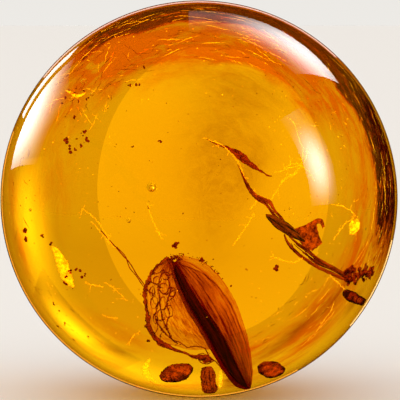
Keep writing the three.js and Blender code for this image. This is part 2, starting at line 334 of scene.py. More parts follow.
def husk_place(along, across):
    step = round(along * husk_steps)
    at = Vector(kernel_side[step]).lerp(Vector(outer_side[step]), across)
    ripple = 0.03 * noise.noise(Vector((along * 3, across * 2, 5)))
    crest = sum(
        strength * math.exp(-((across + ripple - where) / width) ** 2)
        * max(0, 0.7 + 1.6 * noise.noise(Vector((along * 5, where * 40, 0))))
        for where, width, strength in husk_ribs)
    # The inner layer ends in one strong rib, which fans out from the top.
    border = border_reach - 0.5 * math.exp(-along / 0.12)
    crest += border_strength * math.exp(-((across + ripple / 2 - border) / border_width) ** 2)
    back = 0.15 + husk_depth * math.sin(math.pi * across) ** 0.8 - 0.12 * crest
    at += Vector((0.05, 0.03)) * noise.noise(Vector((along * 30, across * 3, 8))) * across
    # The wall is dense and red beside the kernel and toward its lower end, and thin at its outer edge.
    wall = 0.98 - 0.8 * across + 0.5 * along ** 1.5 - (0.1 if across > border else 0)
    wall += 0.5 * math.exp(-(along / 0.07) ** 2) * (1 - 0.6 * across)
    return at.x, back, at.y, wall + crest, across * 5, along * 18


husk = new_form()
add_sheet(husk, husk_steps, 160, husk_place)

# Dry husk fibre: a thin orange-brown wall, darker and denser on the ribs and where it is thick
husk_fibre, tree, shader, output = new_material("dry_husk_fibre", {"Roughness": 0.7, "IOR": 1.1})
wall = add_node(tree, "Attribute", attribute_name="shade")
# Fibres 0.3 mm wide and 2.5 mm long
fibres = along_grain(tree, (3.08, 0.392, 1.4), 8, 0.72)
fibre_share = add_node(
    tree, "MapRange", {"From Min": 0.3, "From Max": 0.7, "To Min": -0.3, "To Max": 0.3},
    {"Value": fibres})
density = add_node(tree, "Math", links={0: wall.outputs["Fac"], 1: fibre_share}, operation="ADD")
husk_colour = add_node(tree, "ValToRGB", links={"Fac": density}, stops=[
    (0.1, linear("#d07424")), (1.0, linear("#500a04"))])
tree.links.new(husk_colour.outputs["Color"], shader.inputs["Base Color"])
husk_tint = add_node(tree, "ValToRGB", links={"Fac": density}, stops=[
    (0.0, linear("#fdeccc")), (0.45, linear("#e08848")), (0.92, linear("#780e02"))])
husk_cover = add_node(
    tree, "MapRange", {"From Min": 0.2, "From Max": 1.0, "To Min": 0.03, "To Max": 0.3},
    {"Value": density})
thin_wall(tree, shader, output, husk_tint, solid_share=husk_cover)
seal_in("ribbed_husk", husk, husk_fibre, "seed_husk")

# Papery bract
# A skin as thin as tissue that stood off from the seed's left, bulged to the front. Its outer part
# has rotted to a lace of veins, and a thick stalk runs down its outer edge to a knot.
bract_bulge = 0.9
bract_steps = 80
bract_outer_edge = [
    (-2.4, -5.0), (-3.5, -6.1), (-4.2, -7.8), (-4.15, -9.6), (-3.95, -11.3), (-3.1, -12.7),
    (-1.6, -13.3), (-0.3, -13.8),
]
bract_seed_edge = [
    (-1.95, -5.1), (-1.75, -6.2), (-1.35, -7.4), (-0.7, -8.9), (0.1, -10.3), (0.8, -11.6), (1.4, -12.8),
    (1.8, -13.8),
]
bract_stalk = [
    (-4.0, -10.4, 0.12), (-3.9, -11.4, 0.2), (-3.5, -12.2, 0.2), (-2.9, -13.0, 0.27),
    (-2.2, -13.4, 0.24), (-1.5, -13.8, 0.14), (-0.7, -14.1, 0.12), (0.1, -14.6, 0.16),
    (0.7, -14.7, 0.3), (1.3, -15.0, 0.36), (1.8, -15.2, 0.2),
]
outer_line = rounded(bract_outer_edge, bract_steps)
seed_line = rounded(bract_seed_edge, bract_steps)


def bract_place(along, across):
    step = round(along * bract_steps)
    at = Vector(outer_line[step]).lerp(Vector(seed_line[step]), across)
    back = -bract_bulge * math.sin(math.pi * along) * math.sin(math.pi * across)
    back += 0.12 * noise.noise(Vector((at.x * 1.6, at.y * 1.6, 0)))
    redness = across + 1.2 * math.exp(-(along / 0.16) ** 2)
    return at.x, back, at.y, redness, across * 4, along * 9


bract = new_form()
add_sheet(bract, bract_steps, 44, bract_place)

# Bract skin: as thin as tissue, amber brown, with fine lines along it and redder toward the seed
bract_skin, tree, shader, output = new_material("rotted_bract_skin", {"Roughness": 0.6, "IOR": 1.1})
inward = add_node(tree, "Attribute", attribute_name="shade")
# Lines 0.2 mm wide and 0.9 mm long
mottle = along_grain(tree, (5.76, 1.12, 1.6), 6, 0.65)
redness = add_node(
    tree, "MapRange", {"From Min": 0.4, "From Max": 1.5, "To Min": -0.08, "To Max": 0.28},
    {"Value": inward.outputs["Fac"]})
tissue = add_node(tree, "Math", links={0: mottle, 1: redness}, operation="ADD")
skin_tint = add_node(tree, "ValToRGB", links={"Fac": tissue}, stops=[
    (0.36, linear("#fae0b4")), (0.55, linear("#e0a062")), (0.78, linear("#9c3416"))])
skin_colour = add_node(tree, "ValToRGB", links={"Fac": tissue}, stops=[
    (0.4, linear("#c88030")), (0.75, linear("#5a1a08"))])
tree.links.new(skin_colour.outputs["Color"], shader.inputs["Base Color"])
skin_cover = add_node(
    tree, "MapRange", {"From Min": 0.4, "From Max": 0.75, "To Min": 0.04, "To Max": 0.4},
    {"Value": tissue})
thin_wall(tree, shader, output, skin_tint, solid_share=skin_cover)
seal_in("bract_skin", bract, bract_skin, "papery_bract")


def rough_section(seed, lumpiness, flatness=1.0, lobes=0):
    """A tube's section with a lumpy skin. Its shade is the lump's height."""
    def section(share, turn, half):
        place = Vector((math.cos(turn), math.sin(turn), share * 14 + seed * 7.3))
        lump = noise.noise(place * 1.7) + 0.5 * noise.noise(place * 4.1)
        lobe = 0.12 * math.cos(lobes * turn) if lobes else 0
        size = half * (1 + lumpiness * lump + lobe)
        return size * math.cos(turn), size * flatness * math.sin(turn), 0.5 + 0.5 * lump
    return section


def add_lump(form, place, radius, fineness, lumpiness, seed):
    """A lumpy crumb round a place given as right, back and up."""
    body = bmesh.new()
    bmesh.ops.create_icosphere(body, subdivisions=fineness, radius=1)
    first = len(form["points"])
    for point in body.verts:
        lump = noise.noise(point.co * 1.3 + Vector((seed * 5.1, 0, 0)))
        lump += 0.5 * noise.noise(point.co * 3.1 + Vector((0, seed * 3.3, 0)))
        size = radius * (1 + lumpiness * lump)
        form["points"].append(tuple(place[k] + point.co[k] * size for k in range(3)))
        form["grain"].append(tuple(place[k] + point.co[k] * radius for k in range(3)))
        form["shade"].append(0.5 + 0.5 * lump)
    for face in body.faces:
        form["faces"].append(tuple(first + point.index for point in face.verts))
    body.free()


# The veins that are left of the skin's outer part, each as right, up and half width
bract_veins = [
    [(-2.4, -5.0, 0.1), (-3.0, -5.5, 0.13), (-3.6, -6.2, 0.12), (-4.0, -7.1, 0.16), (-4.3, -8.1, 0.16),
     (-4.2, -9.2, 0.13), (-4.0, -10.4, 0.16), (-3.9, -11.4, 0.24), (-3.5, -12.2, 0.14)],
    [(-2.7, -6.2, 0.05), (-3.0, -7.1, 0.07), (-3.0, -8.0, 0.06), (-2.9, -9.0, 0.09), (-2.8, -9.9, 0.09),
     (-2.6, -10.9, 0.08), (-2.2, -11.9, 0.1), (-1.8, -12.8, 0.08), (-1.3, -13.2, 0.05)],
    [(-4.0, -7.1, 0.06), (-3.4, -7.4, 0.08), (-3.0, -7.7, 0.05), (-2.6, -7.9, 0.04)],
    [(-2.9, -9.0, 0.06), (-3.2, -9.9, 0.07), (-3.3, -10.7, 0.05), (-2.9, -11.5, 0.08),
     (-2.5, -12.1, 0.09), (-1.8, -12.8, 0.07)],
    [(-2.3, -6.7, 0.06), (-2.1, -7.6, 0.09), (-2.0, -8.2, 0.08), (-2.2, -9.0, 0.1), (-2.2, -9.7, 0.09),
     (-2.0, -10.4, 0.05), (-2.2, -11.1, 0.08), (-2.3, -11.9, 0.1)],
    [(-3.0, -8.0, 0.05), (-2.5, -8.5, 0.07), (-2.0, -8.2, 0.06), (-1.6, -7.9, 0.04)],
    [(-2.0, -9.0, 0.05), (-1.7, -8.6, 0.08), (-1.6, -8.1, 0.05)],
    [(-1.8, -12.8, 0.08), (-1.1, -13.1, 0.06), (-0.4, -13.6, 0.07), (0.3, -13.5, 0.08),
     (1.1, -13.7, 0.06), (1.5, -14.5, 0.09), (2.0, -15.3, 0.07)],
    [(0.5, -14.4, 0.07), (1.0, -14.3, 0.05), (1.6, -14.7, 0.08), (2.3, -15.5, 0.06),
     (3.0, -16.6, 0.04)],
    [(0.6, -14.9, 0.08), (0.9, -15.5, 0.06), (1.5, -15.6, 0.09), (2.1, -15.3, 0.07), (2.6, -15.9, 0.05),
     (3.3, -17.4, 0.04)],
    [(-3.3, -10.7, 0.05), (-2.8, -11.0, 0.04), (-2.6, -10.9, 0.05)],
    [(-3.6, -6.2, 0.05), (-3.2, -6.5, 0.04), (-2.7, -6.2, 0.07), (-2.3, -6.7, 0.09),
     (-1.9, -6.3, 0.06)],
    [(-2.9, -11.5, 0.05), (-2.6, -11.9, 0.04), (-2.9, -12.3, 0.05), (-2.9, -12.9, 0.06)],
    [(-2.4, -5.0, 0.12), (-2.1, -5.6, 0.16), (-1.9, -6.4, 0.12), (-1.7, -7.1, 0.05)],
    [(-3.4, -7.4, 0.03), (-3.6, -8.3, 0.04), (-3.4, -9.2, 0.03), (-2.9, -9.4, 0.04)],
    [(-3.6, -12.3, 0.04), (-3.1, -11.6, 0.04), (-3.3, -10.7, 0.03)],
]
skin_finder = KDTree(len(bract["points"]))
for i, (right, back, up) in enumerate(bract["points"]):
    skin_finder.insert((right, up, back), i)
skin_finder.balance()
vein_rng = random.Random(4)


def on_bract(x, z):
    """How far back the bract's skin is at a place, a little to the front of it."""
    near = min(skin_finder.find_n((x, z, -0.4), 4), key=lambda found: (
        (found[0][0] - x) ** 2 + (found[0][1] - z) ** 2))
    return near[0][2] - 0.05


rim_form = new_form()
stalk = new_form()
add_tube(stalk, rounded([(*stop, 0) for stop in bract_stalk], 160), 14, rough_section(1, 0.75, 0.7))
for i, vein in enumerate(bract_veins):
    steps = 16 * len(vein)
    line = []
    for x, z, half in rounded(vein, steps):
        x += vein_rng.gauss(0, 0.015)
        z += vein_rng.gauss(0, 0.015)
        line.append((x, z, half if i == 0 else 0.7 * half, on_bract(x, z)))
    add_tube(rim_form if i == 0 else stalk, line, 8, rough_section(30 + i, 1.1, 0.7))
    for x, z, half, back in line[::5]:
        if i > 0 and vein_rng.random() < 0.45:
            spread = [vein_rng.gauss(0, 0.1) for _ in range(2)]
            crumb = (x + spread[0], back, z + spread[1])
            add_lump(stalk, crumb, vein_rng.uniform(0.03, 0.09), 1, 0.5, vein_rng.random() * 10)
# The walls that are left of single cells: right, up, half width and half height of each
cell_walls = [
    (-3.18, -7.12, 0.36, 0.34), (-3.62, -8.1, 0.26, 0.45), (-2.59, -7.93, 0.39, 0.49),
    (-3.42, -9.16, 0.33, 0.54), (-2.6, -9.34, 0.3, 0.61), (-1.93, -8.19, 0.33, 0.45),
    (-2.88, -10.43, 0.27, 0.49), (-2.1, -10.15, 0.33, 0.63), (-2.46, -6.73, 0.36, 0.37),
    (-3.29, -10.71, 0.2, 0.45),
]
for x, z, half_width, half_height in cell_walls:
    wall = []
    for k in range(25):
        turn = math.tau * k / 24
        right = x + half_width * math.cos(turn) + vein_rng.gauss(0, 0.02)
        up = z + half_height * math.sin(turn) + vein_rng.gauss(0, 0.02)
        wall.append((right, up, 0.035 + 0.02 * math.sin(2 * turn + x), on_bract(right, up)))
    add_tube(stalk, wall, 7, rough_section(60 + x, 1.1, 0.7))
# A tuft of rotted crumbs where the skin and the husk join, and a few along the husk's upper edge
tuft_crumbs = 60
edge_crumbs = 50
for i in range(tuft_crumbs + edge_crumbs):
    if i < tuft_crumbs:
        x, z = vein_rng.gauss(-1.75, 0.3), vein_rng.gauss(-5.0, 0.2)
    else:
        share = vein_rng.random()
        x, z = outer_side[int(40 * share)]
        x += vein_rng.gauss(0, 0.08)
        z += vein_rng.gauss(0, 0.08)
    size = vein_rng.uniform(0.03, 0.1 if i < tuft_crumbs else 0.06)
    add_lump(stalk, (x, vein_rng.uniform(-0.3, 0.3), z), size, 1, 0.5, vein_rng.random() * 10)

# Rotted plant fibre: dark red-brown, dull, and lighter where it swells with resin
rotted_fibre, tree, shader, output = new_material("rotted_fibre", {"Roughness": 0.65, "IOR": 1.1})
height = add_node(tree, "Attribute", attribute_name="shade")
# Speckles 0.25 mm across
speckle = along_grain(tree, (4, 4, 4), 5, 0.7)
tone = add_node(
    tree, "Math", {1: 0.5}, {0: height.outputs["Fac"], 2: speckle}, operation="MULTIPLY_ADD")
fibre_colour = add_node(tree, "ValToRGB", links={"Fac": tone}, stops=[
    (0.6, linear("#340c06")), (0.95, linear("#b4501c"))])
tree.links.new(fibre_colour.outputs["Color"], shader.inputs["Base Color"])
fibre_thinness = add_node(
    tree, "MapRange", {"From Min": 0.62, "From Max": 0.95, "To Min": 0.12, "To Max": 0.8},
    {"Value": tone})
thin_wall(tree, shader, output, linear("#f0a060"), clear_share=fibre_thinness)
seal_in("bract_veins", stalk, rotted_fibre)

# Woody fibre: orange-brown, streaked along its length, and half clear where it has soaked up resin
woody_fibre, tree, shader, output = new_material("woody_fibre", {"Roughness": 0.6, "IOR": 1.1})
# Streaks 0.15 mm wide and 1.5 mm long
wood_streaks = along_grain(tree, (6, 6, 0.7), 5, 0.6)
wood_colour = add_node(tree, "ValToRGB", links={"Fac": wood_streaks}, stops=[
    (0.42, linear("#481404")), (0.6, linear("#c06c20"))])
tree.links.new(wood_colour.outputs["Color"], shader.inputs["Base Color"])
wood_thinness = add_node(
    tree, "MapRange", {"From Min": 0.42, "From Max": 0.62, "To Min": 0.1, "To Max": 0.75},
    {"Value": wood_streaks})
thin_wall(tree, shader, output, linear("#f0a864"), clear_share=wood_thinness)
seal_in("bract_rim", rim_form, woody_fibre)

# Plant hair
# Two long dead cells of a plant, rotted brown, that twist round each other. One reaches further out
# than the other, and a gold thread of air runs on from it.
hair_stops = [
    (-9.4, -1.0, 0.03, 0), (-8.1, -2.5, 0.04, 0), (-7.0, -3.8, 0.05, 0), (-6.0, -5.0, 0.055, -0.2),
    (-5.1, -6.5, 0.055, -0.7), (-4.0, -8.1, 0.05, -1.2), (-3.2, -8.9, 0.04, -1.5),
]


def beside(line, reach, turns, start=0.0, wander=0.0, seed=0.0):
    """A strand that winds round a line at a reach that is a share of the line's width."""
    strand = []
    for i, (x, z, half, back) in enumerate(line):
        share = i / (len(line) - 1)
        ahead = line[min(i + 1, len(line) - 1)]
        behind = line[max(i - 1, 0)]
        way = Vector((ahead[0] - behind[0], ahead[1] - behind[1])).normalized()
        turn = start + math.tau * turns * share
        drift = wander * noise.noise(Vector((share * 9, seed * 3.7, 0)))
        right = reach * half * math.cos(turn) + drift
        strand.append((
            x - way.y * right,
            z + way.x * right,
            half,
            back + reach * half * math.sin(turn),
        ))
    return strand


def thinned(line, factor):
    """The same line with its width scaled."""
    return [(x, z, half * factor, back) for x, z, half, back in line]


hair = new_form()
hair_line = rounded(hair_stops, 160)
add_tube(hair, thinned(beside(hair_line, 1.1, 1.5, 0, 0.1, 1), 0.9)[30:], 8, rough_section(2, 0.4))
add_tube(
    hair, thinned(beside(hair_line, 1.2, 1.5, math.pi, 0.14, 2), 0.7)[60:], 8, rough_section(3, 0.4))
seal_in("twisted_hair", hair, rotted_fibre, "plant_hair")

# Twig
# A splinter of woody stem: two thick strands and a bundle of fine fibres across them, which has
# split open round a gap at its left end.
lower_strand = [
    (7.4, -2.9, 0.08), (7.7, -3.5, 0.14), (8.2, -4.1, 0.18), (8.9, -4.7, 0.19), (9.8, -5.3, 0.19),
    (10.8, -5.9, 0.2), (12.1, -6.5, 0.2), (13.6, -7.2, 0.2), (15.2, -7.9, 0.12),
]
upper_strand = [
    (7.9, -3.1, 0.08), (8.8, -3.8, 0.15), (9.8, -4.4, 0.16), (10.7, -5.1, 0.18), (11.9, -5.8, 0.2),
    (13.1, -6.4, 0.2), (14.4, -7.1, 0.18), (15.4, -7.7, 0.1),
]
twig = new_form()
lower_course = rounded([(*stop, 0.35) for stop in lower_strand], 120)
upper_course = rounded([(*stop, 0.2) for stop in upper_strand], 120)
add_tube(twig, thinned(lower_course, 0.8), 12, rough_section(41, 0.25))
add_tube(twig, thinned(upper_course, 0.75), 12, rough_section(42, 0.25))
fine_fibres = 9
twig_rng = random.Random(5)
for i in range(fine_fibres):
    share = twig_rng.uniform(-0.1, 1.1)
    thickness = twig_rng.uniform(0.2, 0.4)
    depth = twig_rng.uniform(-0.2, 0.3)
    strand = []
    for k, (a, b) in enumerate(zip(lower_course, upper_course)):
        place = share + 0.5 * noise.noise(Vector((k / 40, i * 3.1, 0)))
        strand.append((
            a[0] + place * (b[0] - a[0]), a[1] + place * (b[1] - a[1]), thickness * a[2],
            a[3] + depth))
    first = int(twig_rng.uniform(8, 50))
    last = int(twig_rng.uniform(95, 121))
    add_tube(twig, strand[first:last], 8, rough_section(50 + i, 0.3))
seal_in("twig_fibres", twig, woody_fibre, "twig_stem")

# Thin stem
# A fine stem of woody fibre that has split lengthwise. Its two strands have a gap between them and
# meet in a single thread.
first_strand = [
    (3.1, 2.9, 0.03), (3.4, 2.35, 0.05), (3.7, 1.75, 0.1), (4.2, 0.9, 0.16), (4.8, 0.3, 0.19),
    (5.5, 0.0, 0.19), (6.0, -0.2, 0.16), (6.5, -0.9, 0.12), (7.0, -1.4, 0.12), (7.4, -1.8, 0.07),
]
second_strand = [
    (3.75, 1.6, 0.07), (4.3, 0.7, 0.12), (4.9, 0.1, 0.15), (5.6, -0.3, 0.12), (5.9, -0.6, 0.11),
    (6.4, -1.2, 0.12), (6.8, -1.6, 0.09), (7.1, -2.0, 0.05),
]
stem = new_form()
add_tube(stem, rounded([(*stop, 0) for stop in first_strand], 130), 12, rough_section(7, 0.35))
add_tube(stem, rounded([(*stop, 0.1) for stop in second_strand], 110), 12, rough_section(8, 0.35))
seal_in("forked_stem", stem, woody_fibre, "thin_stem")

# Bud
# A closed leaf bud, pointed at the left. Its waxy scales grew over each other, so their edges stand
# up in small steps, dark brown and ridged. The purple-grey in streaks over it is a painted sheen.
bud_stops = [
    (5.85, -1.3, 0.05, -0.3), (6.1, -1.5, 0.2, -0.3), (6.6, -1.8, 0.34, -0.3), (7.2, -2.2, 0.42, -0.3),
    (7.9, -2.6, 0.44, -0.3), (8.5, -3.0, 0.36, -0.4), (9.1, -3.4, 0.24, -0.5), (9.7, -3.75, 0.08, -0.6),
]


def bud_section(share, turn, half):
    ridge = 0.08 * math.cos(5 * turn + 3 * share) + 0.05 * math.cos(9 * turn)
    scale_edge = 0.06 if (share * 3 + 0.4 * math.cos(turn)) % 1 > 0.5 else 0
    size = half * (1 + ridge + scale_edge)
    return size * math.cos(turn), 0.8 * size * math.sin(turn), 0.5 + 4 * ridge


bud = new_form()
add_tube(bud, rounded(bud_stops, 90), 36, bud_section)

# Bud scales: near-black brown and waxy, and the purple-grey of the lighter streaks is a painted sheen
bud_scales, tree, shader, output = new_material("waxy_bud_scales", {"Roughness": 0.4, "IOR": 1.2})
# Streaks, with painted sheen on the lighter ones, 0.2 mm wide and 1.7 mm long
sheen_streaks = along_grain(tree, (5, 5, 0.6), 4)
scale_colour_and_sheen = add_node(tree, "ValToRGB", links={"Fac": sheen_streaks}, stops=[
    (0.42, linear("#160404")), (0.62, linear("#6e403a"))])
tree.links.new(scale_colour_and_sheen.outputs["Color"], shader.inputs["Base Color"])
seal_in("bud_scales", bud, bud_scales, "twig_bud")

# Leaf scrap
# A torn flap of leaf that stands on the twig and curls to the front, grainy with decay. A narrow
# finger of it is bent down at its upper corner.
scrap_upper_edge = [(8.2, -2.6), (8.7, -2.4), (9.4, -2.25), (10.2, -2.0), (11.15, -1.85)]
scrap_lower_edge = [(8.4, -3.1), (8.9, -3.5), (9.5, -4.1), (10.2, -4.5), (10.85, -4.95)]
scrap_outer_edge = [
    (11.15, -1.85), (11.0, -2.35), (11.1, -2.8), (11.4, -3.5), (11.75, -4.15), (11.25, -4.6),
    (10.85, -4.95),
]
finger_edges = (
    [(10.6, -2.0), (11.2, -1.85), (11.7, -2.05), (12.0, -2.7)],
    [(10.9, -2.5), (11.2, -2.35), (11.5, -2.45), (11.8, -2.95)],
)
scrap_curl = 1.1
scrap_steps = 60
finger_steps = 40
upper_line = rounded(scrap_upper_edge, scrap_steps)
lower_line = rounded(scrap_lower_edge, scrap_steps)
outer_rim = rounded(scrap_outer_edge, scrap_steps)


def scrap_place(along, across):
    step = round(along * scrap_steps)
    chord = Vector(upper_line[-1]).lerp(Vector(lower_line[-1]), across)
    torn = Vector(outer_rim[round(across * scrap_steps)]) - chord
    at = Vector(upper_line[step]).lerp(Vector(lower_line[step]), across) + along ** 2 * torn
    at += 0.05 * along * noise.noise_vector(Vector((at.x * 5, at.y * 5, 0))).xy
    grit = 0.08 * noise.noise(Vector((at.x * 4, at.y * 4, 1)))
    back = -scrap_curl * along ** 2 - 0.3 * across * along + grit
    return at.x, back, at.y, 0.5 + 4 * grit, at.x, at.y


finger_upper = rounded(finger_edges[0], finger_steps)
finger_lower = rounded(finger_edges[1], finger_steps)


def finger_place(along, across):
    step = round(along * finger_steps)
    at = Vector(finger_upper[step]).lerp(Vector(finger_lower[step]), across)
    back = -scrap_curl - 0.15 - 0.2 * math.sin(math.pi * across) - 0.3 * along
    return at.x, back, at.y, 0.5, at.x, at.y


scrap = new_form()
add_sheet(scrap, scrap_steps, scrap_steps, scrap_place)
add_sheet(scrap, finger_steps, 10, finger_place)

# Decayed leaf: reddish brown and grainy, a little light comes through
decayed_leaf, tree, shader, output = new_material("decayed_leaf", {"Roughness": 0.7, "IOR": 1.1})
# Grains 0.5 mm across, with finer ones in them
grit = along_grain(tree, (2, 2, 2), 6, 0.72)
leaf_colour = add_node(tree, "ValToRGB", links={"Fac": grit}, stops=[
    (0.38, linear("#501204")), (0.62, linear("#d07434"))])
tree.links.new(leaf_colour.outputs["Color"], shader.inputs["Base Color"])
leaf_glow = add_node(tree, "BsdfTransparent", links={"Color": leaf_colour})
leaf_wall = add_node(tree, "MixShader", {"Fac": 0.6}, {1: leaf_glow, 2: shader})
tree.links.new(leaf_wall.outputs["Shader"], output.inputs["Surface"])
seal_in("torn_leaf", scrap, decayed_leaf, "leaf_scrap")

# Slim leaf
# A narrow dead leaf that rolled up along its length as it dried and was nipped into segments, with
# a thread at each end.
slim_stops = [
    (0.4, 4.95, 0.03), (1.0, 4.65, 0.05), (1.7, 4.4, 0.09), (2.1, 4.3, 0.17), (2.4, 4.15, 0.14),
    (2.8, 3.95, 0.3), (3.3, 3.6, 0.37), (3.7, 3.3, 0.36), (4.1, 3.0, 0.25), (4.3, 2.88, 0.28),
    (4.65, 2.65, 0.2), (4.9, 2.5, 0.1), (5.1, 2.4, 0.13), (5.4, 2.25, 0.06), (5.7, 2.05, 0.09),
    (6.1, 2.0, 0.03),
]
slim = new_form()
slim_line = thinned(rounded([(*stop, 0) for stop in slim_stops], 160), 0.82)
add_tube(slim, slim_line, 24, rough_section(12, 0.22, 0.5, 5))
seal_in("rolled_leaf", slim, rotted_fibre, "slim_leaf")

# Bark, pips and wood
# Broken bits of bark and wood, and two pips, soaked through with resin: lumpy and dark red-brown,
# with clear pockets where the resin fills them.
bark_bits = {
    "bark_stub": [
        (14.7, -9.0, 0.15), (15.1, -9.25, 0.42), (16.3, -9.95, 0.58), (17.6, -10.7, 0.52),
        (19.3, -11.6, 0.5), (20.7, -12.4, 0.45),
    ],
    "pip_left": [
        (-2.75, -18.4, 0.4), (-2.3, -17.8, 1.0), (-1.5, -17.0, 1.25), (-0.7, -16.3, 0.95),
        (-0.1, -15.8, 0.4),
    ],
    "wood_stub": [
        (1.45, -16.2, 0.5), (1.6, -17.2, 0.72), (1.8, -19.0, 0.74), (2.1, -21.0, 0.84),
        (2.2, -22.3, 0.6),
    ],
    "pip_right": [
        (7.0, -16.6, 0.5), (7.9, -17.5, 1.1), (8.8, -18.5, 1.1), (9.6, -19.6, 1.1),
        (10.3, -20.6, 0.6),
    ],
}

# Resin-soaked bark: maroon and brown, with orange spots that let the light through. Its shade
# attribute darkens it: round the bits' outline as seen from the front this is painted shade, and on
# the frass crumbs it follows their lumps.
soaked_bark, tree, shader, output = new_material("resin_soaked_bark", {"Roughness": 0.6, "IOR": 1.1})
# Spots 0.9 mm across
spots = along_grain(tree, (1.1, 1.1, 1.1), 5, 0.62)
outline_shade_and_lump = add_node(tree, "Attribute", attribute_name="shade")
soak_and_outline_shade = add_node(
    tree, "Math", {1: -0.2}, {0: outline_shade_and_lump.outputs["Fac"], 2: spots}, operation="MULTIPLY_ADD")
bark_colour = add_node(tree, "ValToRGB", links={"Fac": soak_and_outline_shade}, stops=[
    (0.32, linear("#2c0806")), (0.42, linear("#8a2c0c")), (0.52, linear("#e07820"))])
tree.links.new(bark_colour.outputs["Color"], shader.inputs["Base Color"])
bark_thinness = add_node(
    tree, "MapRange", {"From Min": 0.37, "From Max": 0.53, "To Min": 0.08, "To Max": 0.94},
    {"Value": soak_and_outline_shade})
thin_wall(tree, shader, output, linear("#f6ac6c"), clear_share=bark_thinness)
for i, (node, stops) in enumerate(bark_bits.items()):
    bit = new_form()
    lumpy = rough_section(20 + i, 0.14, 0.75)

    def bit_section(share, turn, half):
        right, deep, _ = lumpy(share, turn, half)
        # Darker round the outline as seen from the front and toward the ends: painted shade. The bark
        # stub is darker all over.
        edge = max(abs(math.cos(turn)) ** 2.5, abs(2 * share - 1) ** 3)
        return right, deep, edge + (0.5 if node == "bark_stub" else 0)

    add_tube(bit, rounded(stops, 70), 36, bit_section)
    seal_in("soaked_" + node, bit, woody_fibre if node == "wood_stub" else soaked_bark, node)

# Frass
# Crumbs of bored wood that a grub left behind. The resin stuck them together at the twig's outer
# end.
crumb_places = [
    (14.4, -6.9, 0.4), (15.2, -6.8, 0.55), (15.1, -7.7, 0.5), (16.1, -7.1, 0.6), (16.3, -7.9, 0.6),
    (17.3, -7.1, 0.6), (17.7, -7.9, 0.6), (18.6, -7.5, 0.6), (19.2, -8.1, 0.5),
]
frass = new_form()
crumbs_each = 16
frass_rng = random.Random(3)
for x, z, radius in crumb_places:
    for _ in range(crumbs_each):
        turn = frass_rng.uniform(0, math.tau)
        away = radius * 0.9 * math.sqrt(frass_rng.random())
        size = radius * frass_rng.uniform(0.15, 0.5)
        place = (x + away * math.cos(turn), frass_rng.uniform(-0.4, 0.4), z + away * math.sin(turn))
        add_lump(frass, place, size, 2, 0.4, frass_rng.random() * 10)
seal_in("frass_crumbs", frass, soaked_bark, "frass_clump")

# Specks
# Dust, spores and crumbs of rotted wood that blew onto the sticky resin before the next flow
# covered them.
# Each speck: right, up and radius
specks = [
    (-3.4, 4.64, 0.14), (-5.66, 4.18, 0.09), (-6.95, 4.16, 0.05), (-10.27, 6.46, 0.16),
    (-5.99, 9.11, 0.12), (-5.51, 9.12, 0.13), (-5.25, 9.2, 0.1), (-4.93, 10.53, 0.1),
    (-14.74, -2.85, 0.3), (-14.82, -3.56, 0.22), (-12.96, -3.12, 0.14), (-12.25, -3.87, 0.16),
    (-1.85, -4.08, 0.22), (-2.02, -3.99, 0.18), (-1.7, -3.8, 0.14), (0.39, -5.12, 0.14),
    (0.55, -5.25, 0.18), (-1.29, -1.19, 0.07), (-4.13, -0.7, 0.08), (7.16, -6.02, 0.2),
    (7.0, -5.85, 0.12), (-4.05, -12.87, 0.16), (1.91, -6.28, 0.1), (1.42, -5.12, 0.07),
    (3.11, -7.47, 0.1), (4.35, -6.04, 0.08), (-10.95, 4.43, 0.2), (-10.69, 4.03, 0.2),
    (-10.19, 3.87, 0.12), (-9.71, 4.2, 0.12), (-9.23, 4.77, 0.16), (-9.41, 5.33, 0.18),
    (-9.65, 5.09, 0.1), (-10.05, 4.76, 0.08), (-11.18, -7.31, 0.16), (-10.96, -6.74, 0.14),
    (-10.56, -6.19, 0.16), (-10.03, -6.08, 0.18), (-9.62, -6.78, 0.18), (-9.35, -6.5, 0.12),
    (-4.17, 1.12, 0.07), (-4.24, 0.82, 0.06), (-3.95, 1.24, 0.05), (-12.6, -9.4, 0.14),
    (-12.1, -10.2, 0.1), (-11.9, -11.6, 0.12), (-13.0, -12.4, 0.12), (-11.4, -13.6, 0.12),
    (-9.6, -12.9, 0.1), (-7.2, -6.9, 0.06), (-10.89, 8.76, 0.07), (-10.45, 8.5, 0.09),
    (-9.99, 7.84, 0.11), (-10.65, 7.76, 0.07), (-9.7, 8.57, 0.09), (-11.18, 8.1, 0.11),
    (-10.31, 8.91, 0.07), (-11.41, 7.61, 0.09), (-9.34, 8.0, 0.11),
]
dust = new_form()
speck_rng = random.Random(8)
for right, up, radius in specks:
    for _ in range(3):
        shift = [speck_rng.gauss(0, 0.6 * radius) for _ in range(3)]
        place = (right + shift[0], shift[1], up + shift[2])
        add_lump(dust, place, radius * speck_rng.uniform(0.5, 0.8), 2, 0.5, speck_rng.random() * 10)
fine_specks = 420
speck_field = 22
for _ in range(fine_specks):
    turn = speck_rng.uniform(0, math.tau)
    away = speck_field * math.sqrt(speck_rng.random())
    place = (away * math.cos(turn), speck_rng.gauss(0, 1.5), away * math.sin(turn))
    add_lump(dust, place, speck_rng.uniform(0.018, 0.05), 1, 0.4, speck_rng.random() * 10)
seal_in("dust_specks", dust, rotted_fibre)

